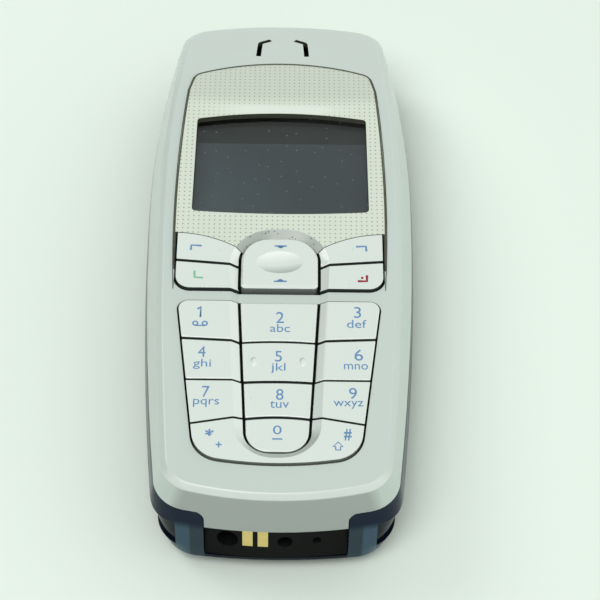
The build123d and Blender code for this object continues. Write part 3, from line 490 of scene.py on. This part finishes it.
# printed legends: each box holds the mark's least and greatest x, then y, in mm
legends = {
    "key_2": [("2", -0.51, 0.9, -22.05, -19.66), ("abc", -1.53, 1.97, -23.99, -22.3)],
    "key_3": [("3", 13.19, 14.42, -21.34, -18.94), ("def", 11.93, 15.36, -23.5, -21.77)],
    "key_4": [("4", -13.9, -12.59, -30.02, -27.7), ("ghi", -14.66, -11.57, -32.53, -30.44)],
    "key_5": [("5", -0.58, 0.63, -30.28, -28.04), ("jkl", -1.24, 1.26, -32.7, -30.57)],
    "key_6": [("6", 13.16, 14.63, -30.43, -28.08), ("mno", 11.32, 15.45, -32.3, -31.13)],
    "key_7": [("7", -12.91, -11.63, -38.28, -36.03), ("pqrs", -14.35, -9.95, -40.31, -38.68)],
    "key_8": [("8", -0.31, 0.97, -38.21, -35.96), ("tuv", -1.31, 1.92, -39.84, -38.42)],
    "key_9": [("9", 12.12, 13.48, -38.36, -36.11), ("wxyz", 9.47, 14.55, -40.4, -38.78)],
    "key_0": [("0", -0.73, 0.72, -45.15, -43.38)],
    "key_star_hash": [("*", -12.11, -10.65, -46.1, -44.7), ("+", -10.26, -9.25, -48.3, -47.2),
                      ("#", 11.19, 12.48, -46.69, -44.42)],
}


def ring(x, y, radius, steps=16):
    # points round a small circle
    angles = [2 * math.pi * i / steps for i in range(steps)]
    return [(x + radius * math.cos(angle), y + radius * math.sin(angle)) for angle in angles]


# drawn marks: open or closed lines, in mm
strokes = {
    "key_1": [([(-14.3, -19.72), (-13.7, -19.2), (-13.7, -21.5)], False),
              ([(-14.24, -19.79), (-13.78, -19.4), (-13.78, -21.5)], False),
              (ring(-14.6, -22.85, 0.42), True), (ring(-12.93, -22.85, 0.42), True),
              ([(-14.6, -23.3), (-12.93, -23.3)], False)],
    "key_0": [([(-0.85, -46.05), (0.87, -46.05)], False)],
    "key_star_hash": [([(9.35, -47.9), (10.19, -47.0), (11.02, -47.9), (10.6, -47.9), (10.6, -48.55),
                        (9.78, -48.55), (9.78, -47.9)], True)],
    "soft_key_left": [([(-16.02, -6.6), (-15.95, -5.5), (-14.1, -5.6)], False)],
    "soft_key_right": [([(13.75, -5.45), (15.52, -5.35), (15.6, -6.5)], False)],
    "send_key": [([(-15.17, -11.3), (-15.12, -12.74), (-13.6, -12.84)], False)],
    "end_key": [([(13.95, -13.25), (15.58, -13.23), (15.6, -11.9)], False),
                ([(14.55, -12.5), (14.95, -12.5)], False)],
    "nav_key": [([(-0.93, -5.42), (1.25, -5.4)], False), ([(-0.4, -5.6), (0.7, -5.59)], False),
                ([(-0.1, -5.78), (0.42, -5.77)], False), ([(-0.98, -13.4), (1.3, -13.37)], False),
                ([(-0.4, -13.22), (0.7, -13.21)], False), ([(-0.1, -13.04), (0.42, -13.03)], False)],
}
# pad-printed lacquer: a thin even film, a little duller than the coat under it; sizes in mm
ink = {"colours": {"blue": "#628cba", "green": "#7cbc94", "red": "#941430"},
       "look": {"drift": 3, "grain": 0.1, "gloss": (0.4, 0.5), "relief": 0.03, "height": 0.005},
       "of": {"send_key": "green", "end_key": "red"}, "line": 0.27,
       "lines": {"nav_key": 0.32, "end_key": 0.48, "send_key": 0.4, "soft_key_left": 0.4,
                 "soft_key_right": 0.4},
       "bold": 0.02, "lift": 0.015}
inks = {}
for name, tone in ink["colours"].items():
    inks[name] = surface(name + "PadPrint", {"colour": tone, "drifted": tone, **ink["look"]})


def shapeTree(name, sizes, shape):
    # a tree with its sizes and finish as named inputs; shape makes its geometry from them
    tree = bpy.data.node_groups.new(name, "GeometryNodeTree")
    kinds = ["Geometry"] + ["Float"] * len(sizes) + ["Material"]
    for label, kind in zip(["Start", *sizes, "Finish"], kinds):
        tree.interface.new_socket(label, in_out="INPUT", socket_type="NodeSocket" + kind)
    tree.interface.new_socket("Made", in_out="OUTPUT", socket_type="NodeSocketGeometry")
    inputs = addNode(tree, "NodeGroupInput").outputs
    whole = addNode(tree, "GeometryNodeRealizeInstances", Geometry=shape(tree, inputs))
    finished = addNode(tree, "GeometryNodeSetMaterial", Geometry=whole, Material=inputs["Finish"])
    addNode(tree, "NodeGroupOutput", Made=finished)
    return tree


def runTree(obj, tree, sizes, finish):
    # puts a tree on an object; its sizes go in by their sockets' identifiers, from mm
    modifier = obj.modifiers.new(tree.name, "NODES")
    modifier.node_group = tree
    for item in tree.interface.items_tree:
        if item.name in sizes:
            modifier[item.identifier] = sizes[item.name] * mm
        if item.name == "Finish":
            modifier[item.identifier] = finish


def stripShape(tree, inputs):
    # a flat strip along a line
    ends = []
    for half in (0.5, -0.5):
        offset = addNode(tree, "ShaderNodeMath", {"operation": "MULTIPLY"}, inputs["Width"], half)
        ends.append(addNode(tree, "ShaderNodeCombineXYZ", X=offset))
    profile = addNode(tree, "GeometryNodeCurvePrimitiveLine", Start=ends[0], End=ends[1])
    return addNode(tree, "GeometryNodeCurveToMesh", Curve=inputs["Start"], Profile_Curve=profile)


stripTree = shapeTree("printedLine", ["Width"], stripShape)


def drawn(lines, width, finish):
    # lines as a flat mesh
    curve = bpy.data.curves.new("lines", "CURVE")
    curve.dimensions = "3D"
    for points, closed in lines:
        spline = curve.splines.new("POLY")
        spline.points.add(len(points) - 1)
        for point, (x, y) in zip(spline.points, points):
            point.co = (x * mm, y * mm, 0, 1)
        spline.use_cyclic_u = closed
    obj = onScene("lines", curve)
    runTree(obj, stripTree, {"Width": width}, finish)
    mesh = plainMesh(obj)
    bpy.data.objects.remove(obj)
    return mesh


def lettered(text, left, right, low, high):
    # letters as a flat mesh that fills its box
    curve = bpy.data.curves.new("lettering", "FONT")
    curve.body = text
    curve.resolution_u = 5
    if not text.isalnum():  # signs are printed a little bolder
        curve.offset = ink["bold"]
    obj = onScene("lettering", curve)
    mesh = plainMesh(obj)
    bpy.data.objects.remove(obj)
    xs = [v.co.x for v in mesh.vertices]
    ys = [v.co.y for v in mesh.vertices]
    for v in mesh.vertices:
        v.co.x = (left + (v.co.x - min(xs)) / (max(xs) - min(xs)) * (right - left)) * mm
        v.co.y = (low + (v.co.y - min(ys)) / (max(ys) - min(ys)) * (high - low)) * mm
    return mesh


def skinOf(name):
    # the surface of a dressed piece, to lay something thin on
    mesh = dressed[name].data
    return BVHTree.FromPolygons([v.co for v in mesh.vertices], [p.vertices for p in mesh.polygons])


def downOn(skin, spot):
    # where a line straight down through spot meets the skin
    return skin.ray_cast(Vector((spot.x, spot.y, overhead)), Vector((0, 0, -1)))[0]


def laidOn(name, carrier, work, finish):
    # thin flat work as a piece with its faces up, riding with its carrier
    for face in work.faces:
        face.normal_update()
        if face.normal.z < 0:
            face.normal_flip()
    mesh = bpy.data.meshes.new(name)
    work.to_mesh(mesh)
    work.free()
    mesh.materials.append(finish)
    obj = onScene(name, mesh)
    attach(obj, nodeBody[carrier])


printed = sorted(set(legends) | set(strokes))
for name in printed:
    finish = inks[ink["of"].get(name, "blue")]
    work = bmesh.new()
    for entry in legends.get(name, []):
        work.from_mesh(lettered(*entry))
    if name in strokes:
        work.from_mesh(drawn(strokes[name], ink["lines"].get(name, ink["line"]), finish))
    bmesh.ops.remove_doubles(work, verts=work.verts, dist=weld)
    skin = skinOf(name)
    for v in work.verts:
        v.co.z = downOn(skin, v.co).z + ink["lift"] * mm
    laidOn(name + "_print", name, work, finish)
print("legends printed on", len(printed), "keys")

# painted shade: a fine dark matt line along the plate's edge, from one soft key round its
# head to the other; sizes in mm, and the line lies on the highest of the spots beside it
edgeShade = {"colour": "#4b4f3c", "drifted": "#565a45", "drift": 4, "grain": 0.2, "gloss": (0.5, 0.65),
         "height": 0.01, "ior": 1.3, "line": 0.3, "from": 0.5, "side": 18.9, "middle": 20,
         "upright": 0.1, "inset": -0.18, "beside": (0, -0.1, -0.2, -0.6), "above": 21.5, "lift": 0.012}
rim = {}
plateMesh = nodes["bezel_plate"].data
for face in plateMesh.polygons:
    outward = Vector((face.center.x, face.center.y - edgeShade["middle"] * mm, 0))
    if abs(face.normal.z) < edgeShade["upright"] and face.normal.dot(outward) > 0:
        for corner in face.vertices:
            spot = plateMesh.vertices[corner].co / mm
            if spot.y > edgeShade["from"] or abs(spot.x) > edgeShade["side"]:
                rim[(round(spot.x, 2), round(spot.y, 2))] = math.atan2(spot.x, spot.y - edgeShade["middle"])
rimPoints = []
for x, y in sorted(rim, key=rim.get):
    inset = Vector((x, y - edgeShade["middle"])).normalized() * edgeShade["inset"]
    rimPoints.append((x + inset.x, y + inset.y))
work = bmesh.new()
edgeShadeFinish = surface("paintedEdgeShade", edgeShade)
work.from_mesh(drawn([(rimPoints, False)], edgeShade["line"], edgeShadeFinish))
skin = skinOf("bezel_plate")
for v in work.verts:
    outward = Vector((v.co.x, v.co.y - edgeShade["middle"] * mm, 0)).normalized() * mm
    hits = [downOn(skin, v.co + outward * reach) for reach in edgeShade["beside"]]
    nearest = skin.find_nearest(Vector((v.co.x, v.co.y, edgeShade["above"] * mm)))[0]
    v.co.z = max([hit.z for hit in hits if hit], default=nearest.z) + edgeShade["lift"] * mm
laidOn("plateEdgeShade", "bezel_plate", work, edgeShadeFinish)
print("grime line drawn through", len(rimPoints), "points")


def repeated(name, tree, places, sizes, finish):
    # the tree's shape at each of the places, as one plain mesh
    mesh = bpy.data.meshes.new(name)
    mesh.from_pydata([[c * mm for c in place] for place in places], [], [])
    obj = onScene(name, mesh)
    runTree(obj, tree, sizes, finish)
    applied(obj)
    return obj


def block(tree, inputs, across, along, high):
    # a plain block with its sizes from the inputs
    size = addNode(tree, "ShaderNodeCombineXYZ", None, inputs[across], inputs[along], inputs[high])
    return addNode(tree, "GeometryNodeMeshCube", Size=size)


def blocksShape(tree, inputs):
    # a plain block on each place
    shape = block(tree, inputs, "Across", "Along", "High")
    return addNode(tree, "GeometryNodeInstanceOnPoints", Points=inputs["Start"], Instance=shape)


def screwsShape(tree, inputs):
    # head down: a disc with a cross recess, a core and a swept thread
    headHeight, shaft, core = inputs["Head Height"], inputs["Shaft Length"], inputs["Core Radius"]
    rods = []
    for radius, length, foot, sides in ((inputs["Head Radius"], headHeight, 0.0, screwSteps["head"]),
                                        (core, shaft, headHeight, screwSteps["core"])):
        middle = addNode(tree, "ShaderNodeMath", {"operation": "MULTIPLY_ADD"}, length, 0.5, foot)
        middle = addNode(tree, "ShaderNodeCombineXYZ", Z=middle)
        rod = addNode(tree, "GeometryNodeMeshCylinder", Vertices=sides, Radius=radius, Depth=length)
        rods.append(addNode(tree, "GeometryNodeTransform", Geometry=rod, Translation=middle))
    bars = [block(tree, inputs, "Recess Width", "Recess Length", "Recess Depth"),
            block(tree, inputs, "Recess Length", "Recess Width", "Recess Depth")]
    cross = addNode(tree, "GeometryNodeJoinGeometry", Geometry=bars)
    head = addNode(tree, "GeometryNodeMeshBoolean", {"operation": "DIFFERENCE"}, Mesh_1=rods[0],
                   Mesh_2=cross)
    turns = addNode(tree, "ShaderNodeMath", {"operation": "DIVIDE"}, shaft, inputs["Pitch"])
    helix = addNode(tree, "GeometryNodeCurveSpiral", Resolution=screwSteps["turn"], Rotations=turns,
                    Start_Radius=core, End_Radius=core, Height=shaft)
    start = addNode(tree, "ShaderNodeCombineXYZ", Z=headHeight)
    helix = addNode(tree, "GeometryNodeTransform", Geometry=helix, Translation=start)
    crest = addNode(tree, "GeometryNodeCurvePrimitiveCircle", Resolution=screwSteps["crest"],
                    Radius=inputs["Thread"])
    thread = addNode(tree, "GeometryNodeCurveToMesh", Curve=helix, Profile_Curve=crest, Fill_Caps=True)
    whole = addNode(tree, "GeometryNodeJoinGeometry", Geometry=[head, rods[1], thread])
    return addNode(tree, "GeometryNodeInstanceOnPoints", Points=inputs["Start"], Instance=whole)


def span(name):
    # least and greatest corner of a CAD node, in mm
    return [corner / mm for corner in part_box(name)]


# cross-recess screws: four of them, up from the back; sizes in mm, and the sides of each round shape
screw = {"Head Radius": 1.48, "Head Height": 1.2, "Recess Width": 0.45, "Recess Length": 1.9,
         "Recess Depth": 1.1, "Core Radius": 0.62, "Pitch": 0.55, "Thread": 0.16}
screwSteps = {"head": 40, "core": 24, "turn": 20, "crest": 4}
screwSharpFrom = 40  # degrees
low, high = span("chassis_screws")
screw["Shaft Length"] = high.z - low.z - screw["Head Height"] - screw["Thread"]
corners = [v.co / mm for v in nodes["chassis_screws"].data.vertices]
screwPlaces = []
for sideX, sideY in ((-1, -1), (-1, 1), (1, -1), (1, 1)):
    own = [c for c in corners if c.x * sideX > 0 and c.y * sideY > 0]
    middle = [(min(c[axis] for c in own) + max(c[axis] for c in own)) / 2 for axis in (0, 1)]
    screwPlaces.append((*middle, low.z))
screwTree = shapeTree("crossRecessScrew", list(screw), screwsShape)
screws = repeated("recessedScrews", screwTree, screwPlaces, screw, materials["screw_steel"])
screws.data.set_sharp_from_angle(angle=math.radians(screwSharpFrom))
claim(screws, "chassis_screws")

blockTree = shapeTree("smallBlock", ["Across", "Along", "High"], blocksShape)

# grip ribs across the release button, still under the level of the back
rib = {"Across": 0.5, "Along": 3.0, "High": 0.36, "count": 5, "pitch": 1.5, "drop": 0.02}
low, high = span("release_button")
middle = (low + high) / 2
ribPlaces = [((step - (rib["count"] - 1) / 2) * rib["pitch"], middle.y, low.z + rib["drop"])
             for step in range(rib["count"])]
ribs = repeated("releaseRibs", blockTree, ribPlaces, rib, materials[slotOf["release_button"]])
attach(ribs, nodeBody["release_button"])

# gold lands in the battery's windows, one under each spring
land = {"Across": 1.5, "Along": 0.1, "High": 2.9, "depth": 0.13, "spring": 1.4}
low, high = span("battery_contacts")
landPitch = (high.x - low.x - land["spring"]) / 2
landY = span("battery")[1].y - land["depth"]
middle = (low + high) / 2
landPlaces = [(middle.x + step * landPitch, landY, middle.z) for step in (-1, 0, 1)]
lands = repeated("batteryLands", blockTree, landPlaces, land, materials["gold_contact"])
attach(lands, nodeBody["battery"])
print("small parts made: screws", len(screwPlaces), "ribs", len(ribPlaces), "lands", len(landPlaces))

# a pale table, lit by two soft lamps on the left, in a room that grows brighter to the right
# it lies a hair under the phone, so that the two faces don't share a plane; places in m, its drop in mm
paper = {"colour": "#e9f4ea", "drifted": "#eaf5eb", "drift": 90, "grain": 0.6, "gloss": (0.7, 0.8),
         "relief": 0.03, "reach": 3.0, "drop": 0.03}
studio = {"room": (0.0, 1.1), "roomTowards": (0.9, 0.4, 0.0), "roomColour": "#f4f8f4",
          "lamps": {"nearSoftbox": {"power": 13.0, "size": 1.0, "place": (-0.42, -0.62, 1.5)},
                    "farSoftbox": {"power": 4.5, "size": 0.6, "place": (-1.0, 0.6, 1.1)}}}
floorMesh = bpy.data.meshes.new("floor")
reach, level = paper["reach"], -paper["drop"] * mm
corners = [(-reach, -reach, level), (reach, -reach, level), (reach, reach, level), (-reach, reach, level)]
floorMesh.from_pydata(corners, [], [(0, 1, 2, 3)])
floorMesh.materials.append(surface("matPaper", paper))
onScene("floor", floorMesh)

world = bpy.data.worlds.new("room")
bpy.context.scene.world = world
world.use_nodes = True
tree = world.node_tree
tree.nodes.clear()
path = addNode(tree, "ShaderNodeLightPath").outputs
seen = addNode(tree, "ShaderNodeMath", {"operation": "MAXIMUM"}, path["Is Camera Ray"],
               path["Is Transmission Ray"])
way = addNode(tree, "ShaderNodeTexCoord").outputs["Generated"]
way = addNode(tree, "ShaderNodeVectorMath", {"operation": "DOT_PRODUCT"}, way, studio["roomTowards"])
dark, bright = studio["room"]
room = addNode(tree, "ShaderNodeMapRange", Value=way, From_Min=-1.0, To_Min=dark, To_Max=bright)
strength = addNode(tree, "ShaderNodeMix", {"data_type": "FLOAT"}, seen, room, 1.0)
backdrop = addNode(tree, "ShaderNodeBackground", Color=linear(studio["roomColour"]), Strength=strength)
addNode(tree, "ShaderNodeOutputWorld", Surface=backdrop)

for name, lamp in studio["lamps"].items():
    lampData = bpy.data.lights.new(name, "AREA")
    lampData.shape = "SQUARE"
    lampData.size = lamp["size"]
    lampData.energy = lamp["power"]
    lampObject = onScene(name, lampData)
    lampObject.location = lamp["place"]
    lampObject.rotation_euler = (-Vector(lamp["place"])).to_track_quat("-Z", "Y").to_euler()
print("table, room and lamps set")

# the photograph's viewpoint, from a camera fitted to it: eye in mm, angles in degrees, focal length in
# pixels of its 600 pixel frame
viewpoint = {"eye": (1.212, -219.279, 283.706), "azimuth": 0.702, "down": 52.38, "roll": 1.202,
             "focal": 1872.17, "frame": 600, "sensor": 36}
cameraData = bpy.data.cameras.new("camera")
cameraData.sensor_width = viewpoint["sensor"]
cameraData.lens = viewpoint["focal"] / viewpoint["frame"] * viewpoint["sensor"]
camera = onScene("camera", cameraData)
camera.location = Vector(viewpoint["eye"]) * mm
turn, down, roll = (math.radians(viewpoint[angle]) for angle in ("azimuth", "down", "roll"))
forward = Vector((math.sin(turn) * math.cos(down), math.cos(turn) * math.cos(down), -math.sin(down)))
right = Vector((math.cos(turn), -math.sin(turn), 0))
up = right.cross(forward)
rightRolled = math.cos(roll) * right + math.sin(roll) * up
upRolled = math.cos(roll) * up - math.sin(roll) * right
camera.rotation_euler = Matrix((rightRolled, upRolled, -forward)).transposed().to_euler()
bpy.context.scene.camera = camera
bpy.context.scene.view_settings.view_transform = "Standard"
